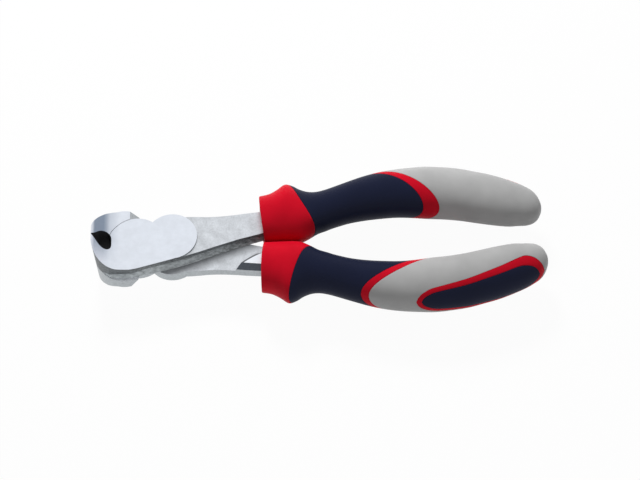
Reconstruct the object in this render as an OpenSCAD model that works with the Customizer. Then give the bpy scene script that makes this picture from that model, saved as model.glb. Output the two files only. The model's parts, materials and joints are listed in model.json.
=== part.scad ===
// End cutting nippers, closed, lying flat with the cutting edges upright.
// Two like forged levers cross in a lap joint on one flush rivet, and each carries
// a moulded grip of four pieces. Lengths are in millimetres.
// The shapes are drawn about the pivot: +X runs from the pivot to the grips, +Z is the
// rivet's axis. The lower jaw's lever has the upper half of the lap and the +Y grip.
// The other lever and grip are the same shapes turned half a turn about X.

/* [Overall] */
// Length from the cutting edges to the ends of the grips
tool_len = 160; // [152:1:170]
// Distance from the cutting edges back to the pivot
head_len = 15.2; // [14.4:0.1:16.5]
// Width of the cutting edges, along the rivet
edge_w = 24; // [16:0.5:30]

/* [Jaws] */
// Half width of the head where a jaw wraps round the other lever's disc
jaw_half = 13; // [12.4:0.1:14.5]
// Half width of the head on the ground face of a lever's own side
face_half = 10.9; // [10.4:0.1:11.8]
// Distance ahead of the pivot where the side of a jaw ends
jaw_back = 2.5; // [1.8:0.1:3.5]
// Distance behind the pivot that a jaw's sloping rear stop reaches at the lap plane
stop_back = 0.4; // [-0.4:0.1:0.8]
// Length of the hollow slope that rises to the cutting edge
ramp_len = 8.2; // [6:0.1:8.6]
// Power of the slope's curve, 1 is straight
ramp_power = 1.6; // [1.2:0.1:2.2]
// Half width of the throat behind the cutting edges
throat_half = 3.5; // [2.6:0.1:4]
// Depth to which the throat bites into the disc
throat_bite = 0.95; // [0.4:0.05:1.2]
// Gap between the two cutting edges when closed
nip_gap = 0.1; // [0.04:0.02:0.2]

/* [Joint] */
// Radius of the lap joint's disc
joint_r = 9.75; // [9.4:0.05:10]
// Thickness over both halves of the lap joint
joint_t = 8.8; // [7.6:0.1:10]
// Gap between the two lap faces
lap_gap = 0.1; // [0.06:0.02:0.2]
// Gap between a disc and the jaw that wraps round it
swing_gap = 0.15; // [0.1:0.05:0.3]
// Radius of the raised ground lobe behind the disc
lobe_r = 9; // [8.4:0.1:9.2]
// Distance of the lobe's centre behind the pivot
lobe_x = 12.3; // [12:0.1:13]
// Distance of the lobe's centre from the tool's centre line
lobe_y = 2; // [1.5:0.1:2.4]
// Height of the ground lobe above the forged shank
lobe_step = 0.4; // [0.2:0.05:0.7]

/* [Rivet] */
// Diameter of the rivet's shank
rivet_d = 5.2; // [4:0.1:6]
// Diameter of the countersunk heads at the ground faces
head_d = 7.6; // [6.8:0.1:9]
// Depth of the countersinks
head_h = 1.2; // [0.8:0.1:1.6]
// Clearance round the rivet in the lever that turns on it
turn_gap = 0.03; // [0.02:0.01:0.08]

/* [Shank] */
// Thickness of the tang where it enters the grip
tang_t = 5.8; // [4.6:0.1:7]
// Thickness of the tang at its end inside the grip
tang_end_t = 3.6; // [2.8:0.1:5]
// Radius of the arc where the shank steps up to the tang's full thickness
step_r = 30; // [26:1:34]
// Distance of that arc's centre behind the pivot
step_x = 55; // [53.5:0.5:56.5]
// Distance of that arc's centre from the tool's centre line
step_y = 32.6; // [31.5:0.1:33.5]

/* [Grips] */
// Distance from the pivot to the front of the grips
grip_front = 43.5; // [42.5:0.5:45]
// Greatest width of a grip, at the palm
grip_w = 20; // [17:0.5:22]
// Greatest thickness of a grip, along the rivet
grip_t = 16; // [13.5:0.5:18]
// Widest gap between the grips when closed
bow_gap = 20; // [17:0.5:24]
// Gap between the two collars when closed
collar_gap = 0.4; // [0.2:0.1:0.8]
// Thickness of the soft sleeve, the tail cap and the inlay
skin_t = 1.6; // [1.2:0.1:2]
// Length of the collar to its rear edge, over the top
collar_len = 14.5; // [12:0.5:17]
// Distance from the collar's front to the stripe, over the top
stripe_from = 46.5; // [42:0.5:54]
// Width of the stripe, over the top
stripe_w = 4.2; // [3:0.1:5.5]
// Distance from the end of a grip to the front of its inlay's border
inlay_len = 48; // [38:0.5:50]
// Width of the border round the inlay
border_w = 1.9; // [1.2:0.1:2.6]

/* [Hidden] */

steel = "lightsteelblue";
red = "crimson";
navy = "midnightblue";
grey = "darkgray";

half_t = joint_t / 2;
lobe_reach = lobe_y + lobe_r;
half_edge = edge_w / 2;
grip_end = tool_len - head_len;
grip_len = grip_end - grip_front;
// Share of the grip that the tang reaches into
tang_share = 0.72;
tang_len = grip_len * tang_share;
tang_end = grip_front + tang_len;
// Depth to which the border round the inlay is rooted in the core
border_root = 1.5 * skin_t;
// One overrun serves every cut
over = edge_w / 24;

// Sides of the round parts, and steps of an outline between two of its points
fine = 96;
steps = 4;

// Outer side of a jaw below the lap plane, from the cutting edge back to the rear corner,
// as shares of that length and of jaw_half
jaw_shares = [
    [0, 0.22], [0.024, 0.33], [0.079, 0.465], [0.157, 0.605], [0.244, 0.72],
    [0.354, 0.835], [0.504, 0.93], [0.67, 0.98], [0.835, 1], [1, 0.98]
];
// The same side on the ground face, as shares of that length and of face_half
face_shares = [
    [0, 0.24], [0.024, 0.41], [0.087, 0.615], [0.173, 0.77], [0.268, 0.862],
    [0.386, 0.927], [0.535, 0.963], [0.78, 0.99], [1, 1]
];
// One side of the throat, from the cutting edge back to its rear wall,
// as shares of its length and of throat_half
throat_shares = [
    [0, 0], [0.2, 0.36], [0.33, 0.66], [0.5, 0.92], [0.69, 1],
    [0.86, 0.88], [0.97, 0.6], [1, 0.25]
];
// Lower edge of the shank, from the head to the grip, as shares of that length
// and of the way across from the head's edge to the tang's
shank_low_shares = [
    [0.054, 0.03], [0.14, 0.1], [0.233, 0.18], [0.37, 0.3], [0.511, 0.445],
    [0.663, 0.62], [0.837, 0.81], [1, 1]
];
// Upper edge of the shank, from the grip to the lobe, as shares of the distance from
// the pivot to the grip and of the lobe's reach
shank_high_shares = [
    [1, 1.07], [0.87, 0.99], [0.775, 0.94], [0.68, 0.905], [0.58, 0.89],
    [0.48, 0.905], [0.38, 0.9], [0.28, 0.8]
];
shank_end_share = shank_high_shares[0][1];
// Lower edge of the tang where it enters the grip, as a share of the grip's width there
tang_in_share = 0.16;
// Lower edge of the jaw's rear stop, as a share of jaw_half
stop_share = 0.97;
// Tang inside the grip, as shares of its length and of the way across the grip from its
// inner side to its outer one
tang_low_shares = [
    [0, 0.18], [0.17, 0.27], [0.28, 0.29], [0.43, 0.26], [0.6, 0.31], [0.78, 0.35], [0.94, 0.39]
];
tang_high_shares = [
    [0.94, 0.6], [0.78, 0.63], [0.6, 0.66], [0.43, 0.7], [0.28, 0.72], [0.17, 0.62], [0.06, 0.6]
];
// Grip from its front to its end: place along it, inner side as a share of the way out
// to the widest gap, width as a share of grip_w, and thickness as a share of grip_t
grip_shares = [
    [0, 0, 0.93, 0.94], [0.035, 0, 0.97, 0.96], [0.064, 0, 1.055, 1], [0.092, 0, 1.16, 1.03],
    [0.118, 0, 1.13, 1.01], [0.145, 0.05, 1.02, 0.96], [0.173, 0.2, 0.895, 0.9],
    [0.202, 0.39, 0.795, 0.86], [0.232, 0.51, 0.77, 0.85], [0.262, 0.635, 0.76, 0.86],
    [0.315, 0.8, 0.78, 0.88], [0.37, 0.9, 0.83, 0.91], [0.429, 0.96, 0.88, 0.94],
    [0.484, 0.99, 0.91, 0.97], [0.538, 0.96, 0.95, 0.99], [0.597, 0.89, 1, 1],
    [0.656, 0.84, 1, 1], [0.712, 0.76, 1, 1], [0.765, 0.645, 0.99, 0.99],
    [0.824, 0.52, 0.97, 0.96], [0.879, 0.43, 0.91, 0.9], [0.913, 0.43, 0.838, 0.83],
    [0.943, 0.43, 0.755, 0.76], [0.967, 0.49, 0.645, 0.65], [0.985, 0.635, 0.47, 0.48],
    [0.997, 0.87, 0.22, 0.24], [1, 1.03, 0.05, 0.06]
];

// How far the stripe's front moves along the grip as it goes round it, as shares of
// stripe_from: between the inner side and the outer one, and between top and bottom
stripe_skew_share = 0.226;
stripe_twist_share = 0.129;

// Half outline of the inlay's border from its front end to its rear one, in a view from
// its own side, as shares of its length and of its half height
inlay_shares = [
    [0, 0], [0.02, 0.31], [0.06, 0.54], [0.14, 0.75], [0.37, 0.9], [0.6, 0.97],
    [0.8, 1], [0.88, 0.95], [0.94, 0.74], [0.98, 0.4], [1, 0]
];
// Half height of the border, as a share of grip_t
border_share = 0.38;
// How far the border is drawn in across the grip, as a share of how far it is along it
inset_share = 0.88;
// Floor of the inlay's cut, as a share of the grip's half width out from its middle
pocket_share = 0.3;
// Turn of the inlay's view round the grip, in degrees
inlay_lean = 23;

// A smooth curve through points, with the same count of steps between each two
function blend(a, b, c, d, t) =
    b + t * (c - a) / 2 + t * t * (a - 2.5 * b + 2 * c - d / 2)
    + t * t * t * (1.5 * b - 1.5 * c + (d - a) / 2);
function smooth(points, count) = [
    for (i = [0:len(points) - 2])
        for (k = [0:count - 1])
            blend(
                points[max(i - 1, 0)], points[i], points[i + 1],
                points[min(i + 2, len(points) - 1)], k / count
            ),
    points[len(points) - 1]
];
function flipped(points) = [for (i = [len(points) - 1:-1:0]) points[i]];
function mirrored(points) = [for (p = points) [p[0], -p[1]]];

// Head outlines, on the side of the lower jaw
nose_len = head_len - jaw_back;
function side_points(shares, half) = [
    for (s = shares) [s[0] * nose_len - head_len, -s[1] * half]
];
throat_back = joint_r - throat_bite;
throat_len = head_len - throat_back;
throat_rim = smooth(
    [for (s = throat_shares) [s[0] * throat_len - head_len, -s[1] * throat_half - nip_gap / 2]],
    steps
);

// Height of the ground face, which rises in a hollow slope to the cutting edge
function ramp_z(s) = half_t + (half_edge - half_t) * pow(s, ramp_power);
ramp_points = [
    for (i = [0:12]) let (s = 1 - i / 12) [-head_len + ramp_len * (1 - s), ramp_z(s)]
];

// Grip surface: the row of shares at a distance along it, read off smoothly
grip_curve = smooth(grip_shares, steps);
function row_at(along, i) =
    i >= len(grip_curve) - 2 || grip_curve[i + 1][0] >= along
        ? let (
            a = grip_curve[i],
            b = grip_curve[i + 1],
            t = (along - a[0]) / (b[0] - a[0])
        ) a + min(max(t, 0), 1) * (b - a)
        : row_at(along, i + 1);
function grip_row(x) = row_at(min(max((x - grip_front) / grip_len, 0), 1), 0);
function grip_inner(row) = collar_gap / 2 + row[1] * (bow_gap - collar_gap) / 2;
function grip_middle(x) = let (row = grip_row(x)) grip_inner(row) + row[2] * grip_w / 2;
// A point of the grip at x and at a turn from its outer side, a depth below the surface
function grip_point(x, turn, depth) =
    let (
        row = grip_row(x),
        a = row[2] * grip_w / 2,
        b = row[3] * grip_t / 2
    ) [
        x,
        grip_inner(row) + a + max(a - depth, a / 8) * cos(turn),
        max(b - depth, b / 8) * sin(turn)
    ];

// Edges of the grip's colours, as distances from the pivot at each turn round it
front_bow = collar_len / 10;
collar_skew = collar_len / 3;
collar_twist = collar_len / 9;
stripe_skew = stripe_from * stripe_skew_share;
stripe_twist = stripe_from * stripe_twist_share;
function front_edge(turn) = grip_front + front_bow * (1 - cos(turn)) * (1 - cos(turn)) / 4;
function collar_edge(turn) =
    grip_front + collar_len - collar_skew * cos(turn) + collar_twist * sin(turn);
function stripe_front(turn) =
    grip_front + stripe_from - stripe_skew * cos(turn) + stripe_twist * sin(turn);
function stripe_rear(turn) =
    stripe_front(turn) + stripe_w * (1 - cos(turn) / 3 + sin(turn) / 7);
function tail_edge(turn) = grip_end;
function core_edge(turn) = grip_end - skin_t;

// Rings of the grip's pieces
around = 28;
collar_rings = 9;
sleeve_rings = 9;
stripe_rings = 2;
tail_rings = 15;
function ring(edge, depth) = [
    for (j = [0:around - 1]) let (turn = 360 * j / around) grip_point(edge[j], turn, depth)
];
function edge_of(kind, turn) =
    kind == "front" ? front_edge(turn)
    : kind == "collar" ? collar_edge(turn)
    : kind == "stripe_front" ? stripe_front(turn)
    : kind == "stripe_rear" ? stripe_rear(turn)
    : kind == "core_end" ? core_edge(turn)
    : tail_edge(turn);
// Rings between two edges: the spacing closes up towards the end when ease is 1
function zone(from, to, count, depth, ease) = [
    for (i = [0:count])
        let (
            plain = i / count,
            u = ease == 1 ? sin(90 * plain) : plain,
            edge = [
                for (j = [0:around - 1])
                    let (turn = 360 * j / around)
                        edge_of(from, turn) * (1 - u) + edge_of(to, turn) * u
            ]
        ) ring(edge, depth)
];
collar_zone = zone("front", "collar", collar_rings, 0, 0);
sleeve_zone = zone("collar", "stripe_front", sleeve_rings, 0, 0);
sleeve_seat = zone("collar", "stripe_front", sleeve_rings, skin_t, 0);
stripe_zone = zone("stripe_front", "stripe_rear", stripe_rings, 0, 0);
tail_zone = zone("stripe_rear", "tail", tail_rings, 0, 1);
tail_seat = zone("stripe_rear", "core_end", tail_rings, skin_t, 1);
border_seat = zone("stripe_rear", "core_end", tail_rings, border_root, 1);

// A solid through rings in order, closed by a face at each end
module lofted(rings) {
    n = len(rings[0]);
    last = len(rings) - 1;
    polyhedron(
        points = [for (r = rings) for (p = r) p],
        faces = concat(
            [for (j = [1:n - 2]) [0, j, j + 1]],
            [for (i = [0:last - 1]) for (j = [0:n - 1])
                [i * n + j, (i + 1) * n + j, i * n + (j + 1) % n]],
            [for (i = [0:last - 1]) for (j = [0:n - 1])
                [i * n + (j + 1) % n, (i + 1) * n + j, (i + 1) * n + (j + 1) % n]],
            [for (j = [1:n - 2]) [last * n, last * n + j + 1, last * n + j]]
        )
    );
}
// A closed tube: out along the first rings and back along the second
module sleeved(outer, inner) {
    rings = concat(outer, flipped(inner));
    n = len(rings[0]);
    count = len(rings);
    polyhedron(
        points = [for (r = rings) for (p = r) p],
        faces = concat(
            [for (i = [0:count - 1]) for (j = [0:n - 1])
                [i * n + j, ((i + 1) % count) * n + j, i * n + (j + 1) % n]],
            [for (i = [0:count - 1]) for (j = [0:n - 1])
                [i * n + (j + 1) % n, ((i + 1) % count) * n + j,
                    ((i + 1) % count) * n + (j + 1) % n]]
        )
    );
}
// A cup: out along the first rings to a closed end and back along the second
module cupped(outer, inner) {
    n = len(outer[0]);
    rings = concat(flipped(inner), outer);
    count = len(rings);
    seam = len(inner) - 1;
    last = count - 1;
    polyhedron(
        points = [for (r = rings) for (p = r) p],
        faces = concat(
            [for (j = [1:n - 2]) [0, j, j + 1]],
            [for (i = [0:last - 1]) for (j = [0:n - 1])
                [i * n + j, (i + 1) * n + j, i * n + (j + 1) % n]],
            [for (i = [0:last - 1]) for (j = [0:n - 1])
                [i * n + (j + 1) % n, (i + 1) * n + j, (i + 1) * n + (j + 1) % n]],
            [for (j = [1:n - 2]) [last * n, last * n + j + 1, last * n + j]]
        )
    );
}

// Lies the closed tool over the origin, its lowest points at z = 0
module place() {
    translate([head_len - tool_len / 2, 0, half_edge]) children();
}
module turned_over() {
    rotate([180, 0, 0]) children();
}

// Plan of the lever above the lap plane: head, disc and shank up to the grip
module face_plan() {
    head_side = smooth(side_points(face_shares, face_half), steps);
    front_row = grip_row(grip_front);
    tang_low_y = grip_inner(front_row) + tang_in_share * front_row[2] * grip_w;
    shank_run = grip_front + jaw_back;
    shank_low = smooth(
        concat(
            [[-jaw_back, -face_half]],
            [for (s = shank_low_shares)
                [-jaw_back + s[0] * shank_run, -face_half + s[1] * (face_half + tang_low_y)]]
        ),
        steps
    );
    shank_high = smooth(
        [for (s = shank_high_shares) [s[0] * grip_front, s[1] * lobe_reach]], steps
    );
    polygon(concat(
        [[-head_len, -nip_gap / 2]], head_side, shank_low, shank_high,
        [[0, 0], [-throat_back, 0]], flipped(throat_rim)
    ));
    difference() {
        circle(r = joint_r, $fn = fine);
        throat_plan();
    }
    translate([lobe_x, lobe_y]) circle(r = lobe_r, $fn = fine);
}
// Plan of the throat, both sides of it
module throat_plan() {
    polygon(concat(throat_rim, flipped(mirrored(throat_rim))));
}
// Plan of the jaw below the lap plane, where it wraps round the other lever's disc
module wrap_plan() {
    wrap_r = joint_r + swing_gap;
    difference() {
        polygon(concat(
            [[-head_len, -nip_gap / 2]],
            smooth(side_points(jaw_shares, jaw_half), steps),
            [[stop_back, -jaw_half * stop_share], [stop_back, -joint_r / 2], [-throat_back, 0]],
            flipped(throat_rim)
        ));
        circle(r = wrap_r, $fn = fine);
        throat_plan();
    }
}
// Side view of the head: its faces and the slopes up and down to the cutting edge
module head_side_view() {
    rear = lobe_x + lobe_r + over;
    polygon(concat(
        ramp_points, [[rear, half_t], [rear, -half_t]], flipped(mirrored(ramp_points))
    ));
}
// Side view of the jaw below the lap plane, cut off at a slope behind
module wrap_side_view() {
    polygon(concat(
        mirrored(ramp_points),
        [[-jaw_back, -half_t], [stop_back, 0], [stop_back, half_t], [-head_len, half_t]]
    ));
}
// Upright wall through a plan, between two heights
module wall(low, high) {
    translate([0, 0, low]) linear_extrude(high - low) children();
}
// A side view carried across the tool's whole width
module across() {
    reach = tool_len / 2;
    translate([0, reach / 2, 0]) rotate([90, 0, 0]) linear_extrude(reach) children();
}

// Ground face with the disc and the lobe
module ground_head() {
    intersection() {
        wall(lap_gap / 2, half_edge) difference() {
            face_plan();
            difference() {
                translate([lobe_x, -tool_len / 2]) square([tool_len, tool_len]);
                translate([lobe_x, lobe_y]) circle(r = lobe_r, $fn = fine);
                translate([lobe_x, lobe_y - lobe_r]) mirror([0, 1]) square([lobe_r / 4, lobe_r]);
            }
        }
        across() head_side_view();
    }
}
// Forged shank behind the disc, a little lower than the ground face
module shank_bar() {
    intersection() {
        wall(lap_gap / 2, half_edge) difference() {
            face_plan();
            translate([-tool_len, -tool_len / 2]) square([tool_len, tool_len]);
        }
        across() polygon([
            [0, lap_gap / 2], [0, half_t - lobe_step], [lobe_x, half_t - lobe_step],
            [grip_front, tang_t / 2], [grip_front + over, tang_t / 2],
            [grip_front + over, lap_gap / 2]
        ]);
    }
}
// Lower part of the tang, which ends forward in an arc and is bevelled on its outer side
module tang_step() {
    bevel = tang_t / 2;
    fall = (shank_high_shares[0] - shank_high_shares[1]);
    lead = atan2(lobe_reach * fall[1], grip_front * fall[0]);
    difference() {
        tang_slab();
        translate([grip_front, lobe_reach * shank_end_share, 0])
            rotate([0, 0, lead])
                rotate([0, 90, 0])
                    translate([0, 0, -grip_front])
                        linear_extrude(2 * grip_front)
                            polygon([[0, over], [bevel + over, -bevel], [bevel + over, over]]);
    }
}
module tang_slab() {
    intersection() {
        wall(-tang_t / 2, lap_gap) difference() {
            face_plan();
            difference() {
                translate([-tool_len, -tool_len / 2]) square([tool_len + step_x, tool_len]);
                translate([step_x, step_y]) circle(r = step_r, $fn = fine);
            }
        }
        wall(-half_edge, half_edge) translate([0, -tool_len / 2]) square([grip_front, tool_len]);
    }
}
// Tang inside the grip, which it fills a socket of
module tang() {
    low = smooth(
        [for (s = tang_low_shares)
            let (x = grip_front + s[0] * tang_len, row = grip_row(x))
                [x, grip_inner(row) + s[1] * row[2] * grip_w]],
        steps
    );
    high = smooth(
        [for (s = tang_high_shares)
            let (x = grip_front + s[0] * tang_len, row = grip_row(x))
                [x, grip_inner(row) + s[1] * row[2] * grip_w]],
        steps
    );
    tip = [tang_end, grip_middle(tang_end)];
    start = [grip_front, lobe_reach * shank_end_share];
    intersection() {
        wall(-half_edge, half_edge) polygon(concat(low, [tip], high, [start]));
        across() polygon([
            [grip_front, -tang_t / 2], [grip_front, tang_t / 2],
            [tang_end, tang_end_t / 2], [tang_end, -tang_end_t / 2]
        ]);
    }
}
// Jaw below the lap plane
module wrap_jaw() {
    intersection() {
        wall(-half_edge, lap_gap / 2) wrap_plan();
        across() wrap_side_view();
    }
}
// Rivet with two countersunk heads, or the hole for it with a clearance round it
module rivet_body(clear) {
    r = rivet_d / 2 + clear;
    hr = head_d / 2 + clear;
    rotate_extrude($fn = fine) polygon([
        [0, -half_t], [hr, -half_t], [r, head_h - half_t],
        [r, half_t - head_h], [hr, half_t], [0, half_t]
    ]);
}
module lever(clear) {
    difference() {
        union() {
            ground_head();
            shank_bar();
            tang_step();
            tang();
            wrap_jaw();
        }
        rivet_body(clear);
    }
}

// The outline drawn in by an inset all round, about the grip's middle line
module inlay_view(inset) {
    front = grip_end - inlay_len + inset;
    long = inlay_len - border_w - 2 * inset;
    half = border_share * grip_t - inset * inset_share;
    side = smooth(inlay_shares, steps);
    polygon([
        for (p = concat(side, flipped(mirrored(side))))
            let (x = front + p[0] * long) [x, p[1] * half + grip_middle(x) * sin(inlay_lean)]
    ]);
}
// Everything on the outer side of the tail, in the inlay's view
module tail_outside() {
    count = 12;
    start = grip_end - inlay_len;
    far = grip_middle(start) + 2 * grip_w;
    floor = [
        for (i = [0:count])
            let (x = start + inlay_len * i / count, half_w = grip_row(x)[2] * grip_w / 2)
                [x, grip_middle(x) * cos(inlay_lean) + pocket_share * half_w]
    ];
    rotate([-inlay_lean, 0, 0])
        wall(-grip_w, grip_w) polygon(concat(floor, [[grip_end, far], [start, far]]));
}
// The outline driven out through the outer side of the tail
module inlay_cut(inset) {
    intersection() {
        rotate([90 - inlay_lean, 0, 0])
            mirror([0, 0, 1]) linear_extrude(3 * grip_w) inlay_view(inset);
        tail_outside();
    }
}

module grip_core() {
    color(red) union() {
        difference() {
            lofted(concat(collar_zone, sleeve_seat, stripe_zone, tail_seat));
            tang();
        }
        intersection() {
            cupped(tail_zone, border_seat);
            difference() {
                inlay_cut(0);
                inlay_cut(border_w);
            }
        }
    }
}
module grip_sleeve() {
    color(navy) sleeved(sleeve_zone, sleeve_seat);
}
module grip_tail() {
    color(grey) difference() {
        cupped(tail_zone, tail_seat);
        inlay_cut(0);
    }
}
module grip_inlay() {
    color(navy) intersection() {
        cupped(tail_zone, tail_seat);
        inlay_cut(border_w);
    }
}

module lower_jaw_lever() {
    color(steel) place() lever(0);
}
module upper_jaw_lever() {
    color(steel) place() turned_over() lever(turn_gap);
}
module pivot_rivet() {
    color(steel) place() rivet_body(0);
}
module upper_grip_core() {
    place() grip_core();
}
module upper_grip_sleeve() {
    place() grip_sleeve();
}
module upper_grip_tail() {
    place() grip_tail();
}
module upper_grip_inlay() {
    place() grip_inlay();
}
module lower_grip_core() {
    place() turned_over() grip_core();
}
module lower_grip_sleeve() {
    place() turned_over() grip_sleeve();
}
module lower_grip_tail() {
    place() turned_over() grip_tail();
}
module lower_grip_inlay() {
    place() turned_over() grip_inlay();
}

lower_jaw_lever();
upper_jaw_lever();
pivot_rivet();
upper_grip_core();
upper_grip_sleeve();
upper_grip_tail();
upper_grip_inlay();
lower_grip_core();
lower_grip_sleeve();
lower_grip_tail();
lower_grip_inlay();
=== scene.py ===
"""End cutting nippers: ground and forged steel levers with three-colour moulded grips,
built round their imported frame, on a plain pale stage."""
import json
from bisect import bisect_right
from math import asin, atan2, cos, hypot, pi, radians, sin

import bmesh
import bpy
from bpy.props import FloatProperty, FloatVectorProperty, IntProperty, PointerProperty
from mathutils import Matrix, Vector


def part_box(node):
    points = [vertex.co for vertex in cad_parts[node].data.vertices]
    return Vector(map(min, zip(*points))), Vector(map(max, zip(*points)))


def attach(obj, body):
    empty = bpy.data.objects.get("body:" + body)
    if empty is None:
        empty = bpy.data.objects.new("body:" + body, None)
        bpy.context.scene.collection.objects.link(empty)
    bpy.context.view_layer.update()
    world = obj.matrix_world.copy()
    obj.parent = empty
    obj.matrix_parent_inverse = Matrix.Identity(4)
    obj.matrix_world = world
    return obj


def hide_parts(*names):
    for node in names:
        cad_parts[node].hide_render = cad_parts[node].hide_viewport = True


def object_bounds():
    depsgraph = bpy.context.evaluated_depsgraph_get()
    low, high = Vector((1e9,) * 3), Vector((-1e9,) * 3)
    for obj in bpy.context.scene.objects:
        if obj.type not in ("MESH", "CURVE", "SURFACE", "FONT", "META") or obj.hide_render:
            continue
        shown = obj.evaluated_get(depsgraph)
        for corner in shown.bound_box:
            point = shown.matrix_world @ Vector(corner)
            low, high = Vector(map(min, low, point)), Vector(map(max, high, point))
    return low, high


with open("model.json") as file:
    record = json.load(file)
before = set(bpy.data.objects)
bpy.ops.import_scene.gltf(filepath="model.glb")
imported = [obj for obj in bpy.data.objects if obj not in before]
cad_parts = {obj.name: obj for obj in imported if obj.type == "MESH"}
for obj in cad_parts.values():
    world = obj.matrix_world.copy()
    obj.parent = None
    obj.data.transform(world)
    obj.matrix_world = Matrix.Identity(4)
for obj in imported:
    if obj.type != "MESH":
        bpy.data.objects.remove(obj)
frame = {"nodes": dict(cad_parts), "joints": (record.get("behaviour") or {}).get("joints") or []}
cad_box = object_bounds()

bl_info = {
    "name": "End Cutting Nippers",
    "version": (1, 0, 0),
    "blender": (4, 5, 0),
    "location": "View3D > Sidebar > Nippers",
    "description": "Builds end cutting nippers with moulded grips round their packed frame",
    "category": "Add Mesh",
}

MM = 0.001
PIVOT = Vector(frame["joints"][0]["pos_m"])
# Each lever with its body, and the side of the joint plane that its half of the joint is on
LEVERS = (("lower_jaw_lever", "lower_jaw_body", 1), ("upper_jaw_lever", "upper_jaw_body", -1))
# Each grip with the body that carries it, and whether it is the lower one
GRIPS = (("upper_grip", "lower_jaw_body", False), ("lower_grip", "upper_jaw_body", True))

# Shape tables, as shares of the sizes in the property groups. Each row of GRIP_SHARES is
# the place along the grip, its inner side on the way out to the widest gap, its width and
# its thickness.
GRIP_SHARES = [
    (0, 0, 0.93, 0.94), (0.035, 0, 0.97, 0.96), (0.064, 0, 1.055, 1), (0.092, 0, 1.16, 1.03),
    (0.118, 0, 1.13, 1.01), (0.145, 0.05, 1.02, 0.96), (0.173, 0.2, 0.895, 0.9),
    (0.202, 0.39, 0.795, 0.86), (0.232, 0.51, 0.77, 0.85), (0.262, 0.635, 0.76, 0.86),
    (0.315, 0.8, 0.78, 0.88), (0.37, 0.9, 0.83, 0.91), (0.429, 0.96, 0.88, 0.94),
    (0.484, 0.99, 0.91, 0.97), (0.538, 0.96, 0.95, 0.99), (0.597, 0.89, 1, 1),
    (0.656, 0.84, 1, 1), (0.712, 0.76, 1, 1), (0.765, 0.645, 0.99, 0.99),
    (0.824, 0.52, 0.97, 0.96), (0.879, 0.43, 0.91, 0.9), (0.913, 0.43, 0.838, 0.83),
    (0.943, 0.43, 0.755, 0.76), (0.967, 0.49, 0.645, 0.65), (0.985, 0.635, 0.47, 0.48),
    (0.997, 0.87, 0.22, 0.24), (1, 1.03, 0.05, 0.06),
]
# How far the stripe's front moves along the grip as it goes round it, as shares of its
# distance from the collar's front
STRIPE_SKEW, STRIPE_TWIST = 0.226, 0.129
# The same for the collar's rear edge and for the stripe's width, as shares of the collar's
# length and of that width, and the bow of the collar's front
COLLAR_SKEW, COLLAR_TWIST = 1 / 3, 1 / 9
WIDTH_SKEW, WIDTH_TWIST = 1 / 3, 1 / 7
COLLAR_BOW = 1 / 40
# Half height of the inlay's border, as a share of the grip's thickness, and how far the
# border is drawn in across the grip, as a share of how far it is along it
BORDER_SHARE = 0.41
INSET_SHARE = 0.88
# Half outline of the border round the inlay: place along it and share of its half height
INLAY_SHARES = [
    (0, 0), (0.02, 0.28), (0.06, 0.5), (0.14, 0.69), (0.37, 0.86), (0.6, 0.97),
    (0.8, 1), (0.88, 0.91), (0.94, 0.7), (0.98, 0.38), (1, 0),
]
# Inner and outer ends of the inlay's pocket, as shares of the grip's half width
POCKET_REACH = (0.12, 1.5)
# Rings along the parts of a grip, and steps of a rounded edge
COLLAR_RINGS, SLEEVE_SEAT_RINGS, STRIPE_RINGS, TAIL_SEAT_RINGS = 44, 12, 6, 30
SLEEVE_RINGS, SLEEVE_BACK_RINGS, TAIL_RINGS = 80, 16, 96
ROLL_STEPS, BORDER_STEPS, RIM_STEPS = 4, 3, 6
# Faces across the inlay
INLAY_FACES = 24
# Gap that keeps a core's seats clear of its collar and its stripe
SEAT_GAP = 0.2 * MM
# Recess round the tang in the collar's front, as places behind the front and depths below
# the surface, and the rounding of its rim
RECESS = [(1.6 * MM, 3.4 * MM), (1.6 * MM, 2 * MM), (1.3 * MM, 1.6 * MM),
          (0.15 * MM, 1.35 * MM), (0, 1.2 * MM)]
RIM_R = 0.35 * MM

# Places on a lever, from the pivot: the front of the jaw's side, where the ground lobe's
# bevels and the handle's outer side start, where the jaw ends, where the tang's facet can
# start, and the shank's end at the grip
JAW_FRONT = -14.5 * MM
LOBE_START = -4.5 * MM
HANDLE_START = -4 * MM
JAW_END = 3 * MM
FACET_START = 25 * MM
SHANK_END = 43.5 * MM
# How far the shank's end is run into the collar
SEAT_DEPTH = 2.6 * MM
# Places of the three skirt heights, where the skirt's flare starts and the distance over
# which it grows to full. Behind the pivot it grows on by once its size over the last
# distance, up to half as much again.
SKIRT_PLACES = (-13 * MM, 5 * MM, 46.5 * MM)
FLARE_START, FLARE_RISE, FLARE_GROWTH = -12 * MM, 3.5 * MM, 24 * MM
# Least distance of the upright side from the middle line at the pivot, and its slope
SIDE_OUT, SIDE_SLOPE = 9 * MM, 0.3
# How far over the middle line the drafted foot reaches
FOOT_REACH = 4 * MM
# Middle and radius of a circle round the throat's walls
THROAT_X, THROAT_R = -12 * MM, 4.6 * MM
# Room round the rivet where a hole's edges stay sharp
HOLE_ROOM = 0.3 * MM
# Heights: how close to a plane counts as on it, where the upright side and its drafted foot
# start over the joint plane, above where a handle's edges are painted dark and below where a
# jaw's are, as a painted dark reflection, and where the faces along that plane end
ON_PLANE = 0.2 * MM
SIDE_FROM, FOOT_FROM, EDGE_FROM, JOINT_TO = 0.1 * MM, 0.12 * MM, 1 * MM, 0.3 * MM
# Verts closer than the first distance are one, and places closer than the second the same
WELD, NEAR = 0.002 * MM, 0.01 * MM
# Shares of a face's normal: the least upright one of a level face, of a ground bevel and of
# the tang's facet, the least outward one of a side, and the least forward one of the nose
LEVEL, GROUND_SLOPE, FACET_SLOPE, SIDEWAYS, FORWARDS = 0.85, 0.35, 0.3, 0.3, 0.93
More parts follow.
